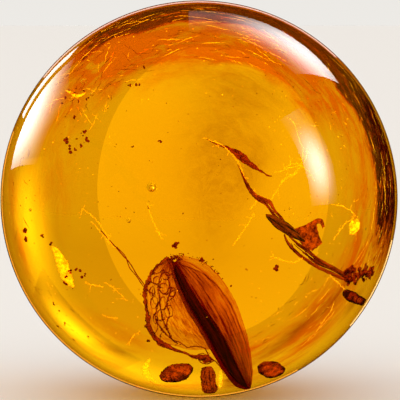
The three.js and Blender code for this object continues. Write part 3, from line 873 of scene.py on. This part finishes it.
# Threads, cracks and films of air
# Hair-fine cracks and spider threads, silvered by the air in them, so they catch the light. Some
# cracks let dirt in and are stained brown, and flat films of air stayed where the resin parted.
thread_paths = [
    [(-9.55, -0.86), (-8.8, -1.43), (-8.3, -2.01), (-7.63, -3.01), (-6.87, -4.2)],
    [(-8.8, -2.02), (-8.13, -2.68), (-7.29, -3.77)],
    [(0.2, 5.0), (1.2, 4.7), (1.99, 4.28), (2.78, 3.47), (3.43, 2.48), (3.81, 1.65)],
    [(-4.13, -0.55), (-3.85, -1.63), (-3.32, -2.81), (-2.88, -3.48)],
    [(8.7, 2.96), (8.0, 2.43), (7.14, 1.72), (6.57, 0.85), (6.09, -0.01)],
    [(8.7, 2.96), (8.81, 4.35), (8.39, 5.19), (7.79, 6.44), (7.22, 7.01)],
    [(8.7, 2.96), (7.71, 2.76), (6.91, 2.48), (6.3, 2.38)],
    [(8.7, 2.96), (9.39, 2.47), (9.91, 1.7)],
    [(8.6, 2.9), (8.1, 2.2), (7.4, 1.95), (6.9, 1.4)],
    [(8.6, 3.05), (7.8, 3.1), (7.1, 2.75)],
    [(8.75, 3.1), (9.1, 3.6), (9.15, 4.4)],
    [(4.64, 0.82), (4.86, -0.03), (4.38, -0.71)],
    [(4.75, -1.14), (4.2, -2.17), (3.64, -3.04), (3.08, -3.91)],
    [(11.75, -0.3), (12.94, -0.48), (13.89, -0.85), (14.43, -1.41), (13.7, -2.15), (13.09, -2.78),
     (12.54, -3.61)],
    [(6.42, -4.91), (7.65, -5.3), (8.71, -5.52), (9.35, -5.17)],
    [(12.65, -7.1), (13.8, -7.97), (14.64, -8.64)],
    [(-7.72, -7.18), (-7.04, -7.62), (-6.44, -8.07), (-5.84, -8.7)],
    [(-9.37, -7.13), (-8.59, -7.38), (-7.81, -7.64)],
    [(-4.75, -11.81), (-5.3, -12.25), (-5.6, -12.93), (-5.8, -13.17)],
    [(-8.0, -10.2), (-7.38, -10.37), (-6.67, -10.54)],
    [(12.53, -13.25), (13.25, -11.87), (13.72, -10.88), (13.65, -9.81)],
    [(11.06, -14.93), (12.55, -13.67), (14.37, -11.16)],
]
# Fields of short cracks round the edge: turns in degrees, reaches, count, longest, and the spread
# of their direction from along the edge, in degrees
crack_fields = [
    (62, 132, 14.2, 16.8, 60, 4.0, 8), (-25, 62, 16.4, 21.5, 70, 3.6, 14),
    (118, 150, 10.5, 15.5, 46, 2.0, 50), (60, 118, 11.6, 14.2, 30, 3.0, 10),
    (-66, -30, 12.0, 18.5, 24, 2.6, 20), (150, 240, 14.5, 17.0, 26, 1.4, 20),
    (-30, 40, 11.0, 16.0, 20, 0.9, 80),
]
# Fields of cracks that are stained brown, in the same order of values
stained_fields = [
    (108, 146, 10.5, 16.0, 60, 2.4, 22), (40, 108, 11.5, 15.0, 36, 2.4, 16),
    (-25, 40, 15.5, 20.0, 40, 2.2, 25), (-66, -30, 12.0, 18.5, 20, 2.2, 15),
    (150, 245, 14.5, 16.8, 26, 1.4, 25),
]
threads = new_form()
stained_cracks = new_form()
thread_rng = random.Random(2)
for path in thread_paths:
    stops = [(x, z, 0.026, thread_rng.uniform(-0.3, 0.3)) for x, z in path]
    steps = 14 * len(stops)
    shaky = [
        (x + thread_rng.gauss(0, 0.04), z + thread_rng.gauss(0, 0.04), half, back)
        for x, z, half, back in rounded(stops, steps)
    ]
    add_tube(threads, shaky, 6, rough_section(thread_rng.random() * 20, 0.9))
    for _ in range(len(path)):
        x, z, half, back = thread_rng.choice(shaky)
        turn = thread_rng.uniform(0, math.tau)
        reach = thread_rng.uniform(0.2, 0.8)
        spur = [
            (x + reach * k / 8 * math.cos(turn) + thread_rng.gauss(0, 0.03),
             z + reach * k / 8 * math.sin(turn) + thread_rng.gauss(0, 0.03), 0.016, back)
            for k in range(9)
        ]
        add_tube(threads, spur, 5, rough_section(thread_rng.random() * 20, 0.8))
for form, (low_turn, high_turn, low_reach, high_reach, count, longest, spread) in (
    [(threads, field) for field in crack_fields]
    + [(stained_cracks, field) for field in stained_fields]
):
    for _ in range(count):
        turn = math.radians(thread_rng.uniform(low_turn, high_turn))
        reach = thread_rng.uniform(low_reach, high_reach)
        length = longest * thread_rng.uniform(0.15, 1) ** 2
        course = turn + math.pi / 2 + math.radians(thread_rng.gauss(0, spread))
        back = thread_rng.uniform(-0.5, 0.8)
        crack = []
        for k in range(9):
            step = length * (k / 8 - 0.5)
            bend = -0.5 * step ** 2 / reach
            crack.append((
                reach * math.cos(turn) + step * math.cos(course) + bend * math.cos(turn)
                + thread_rng.gauss(0, 0.03),
                reach * math.sin(turn) + step * math.sin(course) + bend * math.sin(turn)
                + thread_rng.gauss(0, 0.03),
                thread_rng.uniform(0.01, 0.03) * math.sin(math.pi * (k + 0.5) / 9),
                back,
            ))
        add_tube(form, crack, 5, rough_section(thread_rng.random() * 20, 0.6))
seal_in("stained_cracks", stained_cracks, rotted_fibre)

# Pinpoint bubbles caught on the old face, which glint as the film does
pinpoints = 240
for _ in range(pinpoints):
    turn = math.radians(thread_rng.choice((thread_rng.uniform(70, 260), thread_rng.uniform(-60, 60))))
    reach = thread_rng.uniform(8, 15.5)
    place = (reach * math.cos(turn), thread_rng.uniform(-0.5, 0.8), reach * math.sin(turn))
    add_lump(threads, place, thread_rng.uniform(0.02, 0.06), 1, 0.5, thread_rng.random() * 10)
# Flat pockets and films of air, as right, up and half width: one on the left, one on the right, a
# glint at the large bubble, then beside the left pip, at the upper left and beside the wood
air_pockets = [
    [(-12.15, -4.1, 0.1), (-11.7, -4.7, 0.32), (-11.3, -5.7, 0.5), (-11.0, -6.6, 0.5),
     (-10.7, -7.3, 0.3), (-10.4, -7.6, 0.1)],
    [(13.9, -2.2, 0.1), (14.15, -2.25, 0.55), (14.55, -2.4, 0.75), (14.95, -2.55, 0.5),
     (15.15, -2.65, 0.1)],
    [(-3.8, 0.98, 0.04), (-3.65, 0.86, 0.13), (-3.5, 0.8, 0.04)],
    [(-3.96, -14.79, 0.08), (-4.41, -15.96, 0.3), (-4.44, -17.33, 0.4), (-3.95, -18.52, 0.35),
     (-3.27, -19.13, 0.1)],
    [(-11.2, 8.7, 0.03), (-10.75, 8.5, 0.1), (-10.25, 8.2, 0.13), (-9.8, 8.3, 0.08), (-9.5, 8.5, 0.02)],
    [(2.75, -16.6, 0.05), (2.85, -17.4, 0.2), (2.95, -18.6, 0.24), (3.05, -19.8, 0.2),
     (3.1, -20.5, 0.05)],
]
for i, stops in enumerate(air_pockets):
    pocket = rounded([(*stop, 0.2) for stop in stops], 40)
    add_tube(threads, pocket, 16, rough_section(70 + i, 0.35, 0.3))

# Air film in a crack: it mirrors the light as a bright golden line
silvered_thread, tree, shader, output = new_material("silvered_thread", {
    "Base Color": linear("#fff4c8"), "Roughness": 0.4, "IOR": 1.2})
# The film is broken every 0.4 mm or so, where resin wets the crack
breaks = along_grain(tree, (2.5, 2.5, 2.5), 3, 0.6)
film = add_node(
    tree, "MapRange", {"From Min": 0.4, "From Max": 0.6, "To Min": 0.05, "To Max": 0.95},
    {"Value": breaks})
thin_wall(tree, shader, output, linear("#ffffff"), solid_share=film)
golden_threads = seal_in("golden_threads", threads, silvered_thread)
silvered = bpy.data.collections.new("silvered")
silvered.objects.link(golden_threads)

# Flow layers
# Each flow of resin dried a little before the next one covered it. The old face between two flows
# is a skin of deeper orange. Along its upper and right edge it is cracked, with gold flecks, and a
# dark brown band of painted shade lies there.
layer_radius = 23.6
# Each stain: right, up, half length, half width, tilt in degrees, strength
orange_stains = [
    (-8.2, 11.0, 4.2, 1.8, 36, 0.9), (-10.4, 7.6, 3.0, 2.0, 50, 0.5), (-3.6, 9.9, 2.2, 1.0, 40, 0.35),
    (12.8, 7.2, 3.6, 2.0, -55, 0.8), (15.4, 1.2, 5.5, 2.0, -86, 0.9), (15.4, -5.4, 2.6, 1.8, 84, 0.9),
    (11.6, -11.8, 4.2, 2.0, 45, 0.8), (5.6, -13.6, 2.4, 1.4, 0, 0.4), (-12.0, 2.0, 2.0, 6.0, 0, 0.4),
    (-6.4, -12.0, 4.4, 1.4, -30, 0.5), (-15.6, -2.0, 1.0, 6.0, 8, 0.7), (10.4, -1.4, 2.4, 1.8, 0, 0.2),
    (5.2, -14.0, 5.0, 1.6, 12, 0.4), (12.6, -8.8, 4.0, 2.4, 55, 0.6), (-1.0, -19.5, 6.0, 1.4, 0, 0.6),
    (11.0, -15.5, 4.5, 1.5, 48, 0.8), (-9.0, -15.0, 4.0, 1.0, -40, 0.5), (5.5, -17.0, 2.0, 2.4, 0, 0.5),
    (-0.5, 11.0, 5.0, 1.4, 0, 0.3),
]
brown_stains = [
    (1.8, 5.6, 4.2, 3.0, 65, 0.34), (1.2, -0.4, 2.2, 4.6, 0, 0.24), (4.2, 2.6, 2.6, 1.2, 70, 0.3),
    (3.2, 9.4, 4.5, 1.8, -15, 0.3), (-7.4, -13.8, 2.0, 0.7, -14, 0.6), (9.5, -12.6, 4.6, 0.7, 42, 0.6),
    (13.4, -9.4, 2.0, 0.6, 60, 0.4), (16.8, -10.5, 1.8, 0.8, 60, 0.5), (3.8, -18.4, 0.5, 2.2, 0, 0.7),
    (4.6, -20.0, 0.4, 2.4, 8, 0.5),
]
# The upper veil: a band of deeper orange along the upper edge, with its reach from and to, its
# turns from and to in degrees, and its strength
veil = (11.0, 15.6, 28, 142, 1.2)


def stained(stains, right, up):
    total = 0
    for x, z, half_length, half_width, tilt, strength in stains:
        turn = math.radians(tilt)
        along = ((right - x) * math.cos(turn) + (up - z) * math.sin(turn)) / half_length
        across = ((up - z) * math.cos(turn) - (right - x) * math.sin(turn)) / half_width
        total += strength * math.exp(-(along ** 2 + across ** 2))
    return total


layer = new_form()
layer_brown = []
layer_rings = 70
layer_sides = 160


def layer_place(along, across):
    away = layer_radius * along
    turn = math.tau * (across - 0.25)
    right = away * math.cos(turn)
    up = away * math.sin(turn)
    back = 0.5 + 0.35 * noise.noise(Vector((right / 6, up / 6, 2)))
    layer_brown.append(stained(brown_stains, right, up))
    low_reach, high_reach, low_turn, high_turn, strength = veil
    edge_wander = 0.7 * noise.noise(Vector((right / 3, up / 3, 7)))
    inside = min(1, max(0, (away + edge_wander - low_reach) / 0.8))
    ends = min(1, max(0, math.degrees(turn) - low_turn) / 22) * min(
        1, max(0, high_turn - math.degrees(turn)) / 22)
    orange = stained(orange_stains, right, up) + strength * inside * ends
    return right, back, up, orange, turn * 15, away


add_sheet(layer, layer_rings, layer_sides, layer_place)

# Dried resin skin: clear, and orange or brown where stained, in streaks and curdled specks
resin_skin, tree, shader, output = new_material("dried_resin_skin", {"Roughness": 0.8, "IOR": 1.1})
orange = add_node(tree, "Attribute", attribute_name="shade")
brown = add_node(tree, "Attribute", attribute_name="brown")
# Streaks along the edge, 4 mm long and 0.8 mm wide
curdle = along_grain(tree, (0.25, 1.2, 1), 7, 0.64, 0.7)
orange_amount = add_node(tree, "Math", {1: 1.6}, {0: orange.outputs["Fac"]}, operation="MULTIPLY")
curdled = add_node(
    tree, "MapRange", {"From Min": 0.34, "From Max": 0.66, "To Min": 0.2, "To Max": 0.9},
    {"Value": curdle})
orange_patch = add_node(tree, "Math", links={0: orange_amount, 1: curdled}, operation="MULTIPLY")
orange_share = add_node(
    tree, "MapRange", {"From Min": 0.06, "From Max": 1.3, "To Max": 1.15},
    {"Value": orange_patch}, clamp=False)
brown_amount = add_node(tree, "Math", {1: 2.0}, {0: brown.outputs["Fac"]}, operation="MULTIPLY")
brown_patch = add_node(tree, "Math", links={0: brown_amount, 1: curdle}, operation="MULTIPLY")
# Inputs 6 and 7 of a colour Mix are its two colours, and output 2 is its result.
orange_tint = add_node(tree, "Mix", data_type="RGBA", links={"Factor": orange_share})
orange_tint.inputs[6].default_value = (1, 1, 1, 1)
orange_tint.inputs[7].default_value = linear("#e89c50")
brown_tint = add_node(tree, "Mix", data_type="RGBA", links={"Factor": brown_patch})
tree.links.new(orange_tint.outputs[2], brown_tint.inputs[6])
brown_tint.inputs[7].default_value = linear("#a0663c")
tree.links.new(brown_tint.outputs[2], shader.inputs["Base Color"])
cloud = add_node(tree, "Math", {1: 0.12}, {0: orange_share}, operation="MULTIPLY")
thin_wall(tree, shader, output, brown_tint.outputs[2], solid_share=cloud)
flow_layer = seal_in("flow_layer", layer, resin_skin)
brown = flow_layer.data.attributes.new("brown", "FLOAT", "POINT")
brown.data.foreach_set("value", layer_brown)

# Weathered edge of the layer, and painted rim shade
# A maroon-brown band round the upper and right edge of the old face, darkest near the top. Its dark
# brown is painted shade for the dark surroundings that the rim shows by refraction; the flecks of
# clear gold between its cracks are the amber's own.
# Its course: turn in degrees from the right, then its inner and outer reach
edge_course = [
    (138, 15.2, 16.2), (124, 14.6, 16.7), (110, 14.5, 16.9), (95, 14.6, 17.1), (80, 14.8, 17.5),
    (65, 14.9, 18.1), (48, 15.2, 19.0), (33, 15.6, 20.1), (18, 16.0, 21.1), (2, 16.4, 22.1),
    (-13, 16.9, 23.0), (-25, 18.4, 23.2),
]
edge_steps = 260
edge_line = rounded(edge_course, edge_steps)
# The painted shade is darkest near the top, round this turn and over this spread in radians
top_shade_turn = 1.45
top_shade_spread = 0.7
top_shade_gain = 0.2


def edge_place(along, across):
    turn, inner, outer = edge_line[round(along * edge_steps)]
    ends = min(1, 10 * along, 7 * (1 - along))
    inner += 0.5 * noise.noise(Vector((along * 14, 0, 9)))
    away = inner + (outer - inner) * across
    turn = math.radians(turn)
    back = 0.9 + 0.3 * noise.noise(Vector((along * 10, across * 2, 4)))
    # Density here is how dark the painted rim shade is, raised round the top.
    top_shade_factor = 1 + top_shade_gain * math.exp(-((turn - top_shade_turn) / top_shade_spread) ** 2)
    density = ends * min(1, 7 * across) * top_shade_factor
    return away * math.cos(turn), back, away * math.sin(turn), density, 18 * turn, away


edge = new_form()
add_sheet(edge, edge_steps, 30, edge_place)

# Crust and painted rim shade: its maroon brown is painted shade, and the gold flecks drawn out along
# the edge are the amber's own
crust_and_rim_shade, tree, shader, output = new_material("crust_with_painted_rim_shade", {"Roughness": 0.7, "IOR": 1.1})
density = add_node(tree, "Attribute", attribute_name="shade")
# Flecks 2 mm long and 0.6 mm wide
flecks = along_grain(tree, (0.495, 1.76, 1.1), 7, 0.68, 1.2)
crust_shade_amount = add_node(
    tree, "MapRange", {"From Min": 0.0, "From Max": 1.2, "To Min": -0.25, "To Max": 0.27},
    {"Value": density.outputs["Fac"]})
crust_shade_tone = add_node(tree, "Math", links={0: flecks, 1: crust_shade_amount}, operation="ADD")
crust_shade_colour = add_node(tree, "ValToRGB", links={"Fac": crust_shade_tone}, stops=[
    (0.32, (1, 1, 1, 1)), (0.44, linear("#f4c48c")), (0.55, linear("#c4703c")),
    (0.67, linear("#40100c"))])
tree.links.new(crust_shade_colour.outputs["Color"], shader.inputs["Base Color"])
crust_shade_cover = add_node(
    tree, "MapRange", {"From Min": 0.5, "From Max": 0.8, "To Min": 0.0, "To Max": 0.3},
    {"Value": crust_shade_tone})
thin_wall(tree, shader, output, crust_shade_colour, solid_share=crust_shade_cover)
seal_in("edge_crust_and_rim_shade", edge, crust_and_rim_shade)

# Studio
# A pale floor, and soft boxes that draw the highlights on the polish. The amber glows against an
# even light behind, and small lamps close behind it brighten its lower left.
camera_lift = math.radians(4)
to_camera = Vector((0, -math.cos(camera_lift), math.sin(camera_lift)))
to_right = Vector((1, 0, 0))
to_top = to_camera.cross(to_right)
camera_distance = 0.32
lens = bpy.data.cameras.new("camera")
lens.lens = 228.2
lens.shift_x = 0.0025
lens.shift_y = -0.0025
camera = bpy.data.objects.new("camera", lens)
camera.location = ball_centre + camera_distance * to_camera
camera.rotation_euler = (math.radians(90) - camera_lift, 0, 0)
bpy.context.collection.objects.link(camera)
bpy.context.scene.camera = camera
bpy.context.scene.view_settings.view_transform = "Standard"

floor_mesh = bpy.data.meshes.new("floor")
floor_mesh.from_pydata([(-30, -30, 0), (30, -30, 0), (30, 30, 0), (-30, 30, 0)], [], [(0, 1, 2, 3)])
floor = bpy.data.objects.new("floor", floor_mesh)
bpy.context.collection.objects.link(floor)
pale_board, tree, shader, output = new_material("pale_board", {
    "Base Color": linear("#f2efea"), "Roughness": 0.9})
floor_mesh.materials.append(pale_board)
floor.visible_glossy = False

studio = bpy.data.worlds.new("studio")
studio.use_nodes = True
bpy.context.scene.world = studio
tree = studio.node_tree
way = add_node(tree, "TexCoord")
split = add_node(tree, "SeparateXYZ", links={"Vector": way.outputs["Generated"]})
lift = add_node(tree, "ValToRGB", links={"Fac": split.outputs["Z"]}, stops=[
    (0, (0.846, 0.825, 0.787, 1)), (0.12, (0.79, 0.74, 0.68, 1)), (0.45, (0.9, 0.8, 0.72, 1)),
    (0.7, (1.14, 1.14, 1.14, 1))])
tree.links.new(lift.outputs["Color"], tree.nodes["Background"].inputs["Color"])
studio.cycles_visibility.glossy = False


def soft_box(name, way, long_side, distance, sides, radiance, shift=(0, 0)):
    """An area light on the way from the ball given as right, up and toward the camera. Its sides
    and its shift are shares of the distance."""
    light = bpy.data.lights.new(name, "AREA")
    light.shape = "RECTANGLE"
    light.size = sides[0] * distance
    light.size_y = sides[1] * distance
    light.energy = radiance * light.size * light.size_y * math.pi
    out = sum((v * k for v, k in zip((to_right, to_top, to_camera), way)), Vector()).normalized()
    side = sum((v * k for v, k in zip((to_right, to_top, to_camera), long_side)), Vector())
    side = (side - side.dot(out) * out).normalized()
    up = out.cross(side)
    box = bpy.data.objects.new(name, light)
    box.matrix_world = Matrix.Translation(
        ball_centre + distance * (out + shift[0] * side + shift[1] * up)
    ) @ Matrix((side, up, out)).transposed().to_4x4()
    box.visible_camera = False
    bpy.context.collection.objects.link(box)
    return box


def fade(light, middle, reach, least):
    """Lets a soft box fade from its middle, in shares of its two sides, to a least share of its
    light."""
    light.use_nodes = True
    tree = light.node_tree
    place = add_node(tree, "NewGeometry")
    sides = add_node(tree, "SeparateXYZ", links={"Vector": place.outputs["Parametric"]})
    falls = []
    for axis, at, width in zip("XY", middle, reach):
        away = add_node(tree, "Math", {1: at}, {0: sides.outputs[axis]}, operation="SUBTRACT")
        far = add_node(tree, "Math", links={0: away}, operation="ABSOLUTE")
        falls.append(add_node(
            tree, "MapRange", {"From Max": width, "To Min": 1, "To Max": least},
            {"Value": far}, interpolation_type="SMOOTHSTEP"))
    both = add_node(tree, "Math", links={0: falls[0], 1: falls[1]}, operation="MULTIPLY")
    tree.links.new(both.outputs["Value"], tree.nodes["Emission"].inputs["Strength"])


amber_lit = bpy.data.collections.new("amber_lit")
amber_lit.objects.link(amber_ball)
# Lights behind, seen only through the amber: four that shine into its lower left, which fade to
# nothing at their sides, and a faint round one
glow_distance = 0.12
for name, way, distance, sides, radiance in (
    ("low_left_core", (0.479, 0.514, -0.711), glow_distance, (0.5, 0.36), 2.2),
    ("low_left_glow", (0.479, 0.514, -0.711), glow_distance, (0.9, 0.6), 0.8),
    ("far_left_glow", (0.621, 0.094, -0.778), glow_distance, (0.6, 0.5), 1.5),
    ("bottom_glow", (0.18, 0.74, -0.65), glow_distance, (0.8, 0.5), 0.8),
    ("back_disc", (-0.04, -0.04, -1), 0.06, (0.38, 0.63), 0.2),
):
    tangent = (-way[1], way[0], 0) if name != "back_disc" else (1, 0, 0)
    box = soft_box(name, way, tangent, distance, sides, radiance)
    if name == "back_disc":
        box.data.shape = "ELLIPSE"
    else:
        fade(box.data, (0.5, 0.5), (0.5, 0.5), 0)
    box.light_linking.receiver_collection = amber_lit
    box.visible_glossy = False
# The boxes that the polish mirrors: each with its way, its long side's way, its sides, radiance and
# shift, and then the middle, reach and least share of its fade
box_distance = 0.3
left_way = (-0.7, 0.31, -0.64)
left_side = (0.31, 0.95, 0)
for name, way, long_side, sides, radiance, shift, fall in (
    ("top_box", (0.37, 0.77, -0.5), (0.926, -0.29, 0.242), (0.79, 0.52), 8, (-0.065, -0.057),
     ((0.78, 0.7), (0.6, 0.65), 0.05)),
    ("left_box", left_way, left_side, (0.5, 0.6), 8, (0.06, -0.15), ((0.42, 0.8), (0.6, 0.8), 0.02)),
    ("left_strip", left_way, left_side, (0.26, 0.14), 3, (0.12, 0.33), None),
    ("right_box", (0.895, 0.33, 0.31), (-0.33, 0.94, 0), (0.8, 0.34), 15, (0, 0),
     ((0.43, 0.55), (0.44, 0.55), 0.05)),
):
    box = soft_box(name, way, long_side, box_distance, sides, radiance, shift)
    if fall:
        fade(box.data, *fall)
    box.light_linking.receiver_collection = amber_lit
    box.visible_transmission = False
# A hoop of light close behind the ball draws the bright line just inside its rim. Each stretch:
# from and to in degrees round the camera's axis, colour and radiance
hoop_distance = 0.045
hoop_reach = math.radians(51.3)
hoop_width = math.radians(5.5)
hoop_steps = 40
for i, (begin, end, colour, radiance) in enumerate((
    (46, 142, "#ffe0cc", 1.3),
    (-40, -12, "#ffd88c", 1.8),
    (160, 300, "#ffa83c", 1.2),
)):
    arc = bmesh.new()
    pairs = []
    for k in range(hoop_steps + 1):
        turn = math.radians(begin + (end - begin) * k / hoop_steps)
        pair = []
        for reach in (hoop_reach - hoop_width / 2, hoop_reach + hoop_width / 2):
            out = (
                math.sin(reach) * (math.cos(turn) * to_right + math.sin(turn) * to_top)
                - math.cos(reach) * to_camera
            )
            pair.append(arc.verts.new(ball_centre + hoop_distance * out))
        pairs.append(pair)
    for (a, b), (c, d) in zip(pairs, pairs[1:]):
        arc.faces.new((a, b, d, c))
    arc_mesh = bpy.data.meshes.new("hoop_light_%d" % (i + 1))
    arc.to_mesh(arc_mesh)
    arc.free()
    lamp_tube, tree, shader, output = new_material("lamp_tube_%d" % (i + 1), {})
    lamp = add_node(tree, "Emission", {"Color": linear(colour), "Strength": radiance})
    tree.links.new(lamp.outputs["Emission"], output.inputs["Surface"])
    lamp_tube.cycles.emission_sampling = "NONE"
    arc_mesh.materials.append(lamp_tube)
    hoop = bpy.data.objects.new("hoop_light_%d" % (i + 1), arc_mesh)
    bpy.context.collection.objects.link(hoop)
    hoop.visible_camera = False
    hoop.visible_diffuse = False
    hoop.visible_transmission = False
    hoop.visible_shadow = False
# The debris is lit as if the light came straight through the polished skin.
near_distance = 0.045
for name, way in (("debris_left", (-0.7, 0.5, 0.6)), ("debris_right", (0.7, 0.3, 0.7))):
    box = soft_box(name, way, (0, 1, 0), near_distance, (1.1, 1.1), 3.5)
    box.light_linking.receiver_collection = sealed_in
    box.light_linking.blocker_collection = sealed_in
glint_box = soft_box("glint_box", (0, 0.4, 1), (1, 0, 0), near_distance, (1.4, 1.4), 8)
glint_box.light_linking.receiver_collection = silvered
glint_box.light_linking.blocker_collection = silvered
